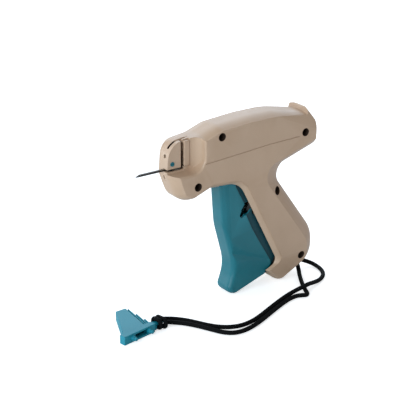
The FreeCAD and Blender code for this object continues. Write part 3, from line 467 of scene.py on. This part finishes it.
def paint_shade(piece, material, chosen):
    """A second, darker material on the faces that are chosen: painted shade."""
    piece.data.materials.append(material)
    for polygon in piece.data.polygons:
        if chosen(polygon):
            polygon.material_index = 1


# Where the painted shade goes, written in millimetres
SCREWS = [(-10.4, 117.4), (58.7, 107.4), (-29.3, 86.8), (36.8, 69.4), (58.0, 17.1)]
RECESS_RADIUS = 2.8
RECESS_SPARE = 0.05           # past its radius, so that the wall of a recess is in it
RECESS_TOP, RECESS_FLOOR = -12.3, -3.9
SLOT_LOW = place(-46.0, -1.2, 103.0)
SLOT_HIGH = place(-38.8, 1.2, 120.0)
SLOT_WALL = 0.4               # the walls of the slot are further from the middle than this
STEP_Y = 7.3                  # the trigger's sides behind their step, which slide into the grip
STEP_SPARE = 0.01

# Least share of Y in the normals of their faces
SLOT_FLAT = 0.5
STEP_FLAT = 0.9995


def in_slot(polygon):
    """Whether a face is a side wall of the slot at the front of the nose."""
    centre = polygon.center
    inside = all(SLOT_LOW[axis] < centre[axis] < SLOT_HIGH[axis] for axis in range(3))
    return inside and abs(centre.y) > SLOT_WALL * MM and abs(polygon.normal.y) > SLOT_FLAT


def in_recess(polygon):
    """Whether a face is in one of the screw recesses."""
    centre = polygon.center
    if not RECESS_TOP * MM < centre.y < RECESS_FLOOR * MM:
        return False
    return any((centre - place(x, centre.y / MM, z)).length < (RECESS_RADIUS + RECESS_SPARE) * MM
               for x, z in SCREWS)


def in_shade(polygon):
    """Whether a face of the housing is deep in shade."""
    return in_slot(polygon) or in_recess(polygon)


def on_step(polygon):
    """Whether a face is one of the stepped strips of the trigger's sides, which get the painted
    shade of the gap along the grip's rim.
    """
    away = abs(abs(polygon.center.y) - STEP_Y * MM)
    return abs(polygon.normal.y) > STEP_FLAT and away < STEP_SPARE * MM


# The screw recesses and the nose slot of each shell get the painted shade
left_shell = finished("left_shell", "left_housing", "housing", HOUSING)
paint_shade(left_shell, PAINTED_SHADE, in_shade)
right_shell = finished("right_shell", "right_housing", "housing", HOUSING)
paint_shade(right_shell, PAINTED_SHADE, in_shade)
squeeze_trigger = finished("squeeze_trigger", "trigger", "trigger", TEAL, crease=TRIGGER_CREASE)
# The trigger's stepped strips get the painted shade of the gap along the rim
paint_shade(squeeze_trigger, STEP_SHADE, on_step)
guard = finished("guard", "needle_cap", "housing", CAP, 0.2 * MM)
finished("screw_set", "housing_screws", "housing", SCREW, 0.08 * MM)
finished("needle_tube", "needle", "housing", NEEDLE)
finished("gate", "feed_gate", "housing", HOUSING, 0.15 * MM)
finished("lock", "needle_lock", "needle_lock", TEAL, 0.12 * MM)
loops = finished("loops", "cord_knot", "housing", CORD)
return_spring = finished("return_spring", "slide_return_spring", "housing", STEEL)

SPRING_FRONT = (-28.1, 0.0, 99.0)
tuple(place(*SPRING_FRONT))
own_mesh(return_spring)

for strand_name, (cad_node, route, strand_length) in STRANDS.items():
    piece = cords[strand_name]
    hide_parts(cad_node)
    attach(piece, "housing")
    tuple(place(*route[0]))

INNER = {
    "drive_lever": DARK, "trigger_pin": STEEL, "lever_pin": STEEL, "cam_rollers": DARK,
    "cam_roller_pin": STEEL, "link_pin": STEEL, "ram_slide": NYLON, "ejector_rod": STEEL,
    "rod_bushing": NYLON, "needle_hub": DARK, "cutter_blade": STEEL,
    "feed_wheel": NYLON, "feed_axle": STEEL, "feed_pawl": NYLON, "detent_spring": STEEL,
    "lanyard_bar": STEEL,
}
for node, material in INNER.items():
    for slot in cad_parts[node].material_slots:
        slot.material = material


# Studio

FLOOR_SIZE = 8.0
FLOOR_LEVEL = -0.2 * MM
FLOOR_COLOUR = 0.82
FLOOR_LIFT = 0.62             # what the floor shines towards the camera alone
SKY = 0.40
SKY_COLOUR = (0.95, 0.97, 1.0, 1)
LAMP_AIM = Vector((0, 0, 0.06))
LAMPS = {                     # place, width, power and colour
    "key": ((-1.05, -0.42, 0.45), 0.9, 11.0, (0.74, 0.88, 1.0)),
    "behind": ((0.55, 0.75, 0.75), 1.2, 9.5, (0.74, 0.87, 1.0)),
    "far_left": ((-0.80, 0.95, 0.30), 1.1, 8.0, (0.82, 0.91, 1.0)),
}


def floor():
    """White sheet under the tool, shown brighter to the camera than it shines on the tool."""
    bpy.ops.object.select_all(action="DESELECT")
    bpy.ops.mesh.primitive_plane_add(size=FLOOR_SIZE, location=(0, 0, FLOOR_LEVEL))
    sheet = bpy.context.active_object
    sheet.name = "floor"
    finish = Finish("floor", roughness=0.9, specular_ior_level=0.1, emission_strength=1.0)
    seen = finish.node("ShaderNodeLightPath", out="Is Camera Ray")
    finish.set("Base Color", grey(FLOOR_COLOUR))
    finish.set("Emission Color", finish.mix(seen, grey(0), grey(FLOOR_LIFT)))
    sheet.data.materials.append(finish.material)


def sky():
    """Even light from all sides, pure white where the camera sees it."""
    world = bpy.data.worlds.new("studio")
    bpy.context.scene.world = world
    world.use_nodes = True
    nodes = Nodes(world.node_tree)
    direct = nodes.node("ShaderNodeLightPath", out="Is Camera Ray")
    through = nodes.node("ShaderNodeLightPath", out="Is Transmission Ray")
    seen = nodes.node("ShaderNodeMath", {0: direct, 1: through}, operation="MAXIMUM")
    light = nodes.node("ShaderNodeBackground", {"Color": SKY_COLOUR, "Strength": SKY})
    white = nodes.node("ShaderNodeBackground", {"Color": grey(1), "Strength": 1.0})
    mixed = nodes.node("ShaderNodeMixShader", {0: seen, 1: light, 2: white})
    nodes.output("ShaderNodeOutputWorld", mixed)


def lamps():
    for name, (where, width, power, colour) in LAMPS.items():
        data = bpy.data.lights.new(name, "AREA")
        data.energy = power
        data.color = colour
        data.size = width
        lamp = bpy.data.objects.new(name, data)
        lamp.visible_camera = False
        bpy.context.scene.collection.objects.link(lamp)
        lamp.location = where
        look_at(lamp, LAMP_AIM)


floor()
sky()
lamps()
bpy.context.scene.view_settings.view_transform = "Standard"
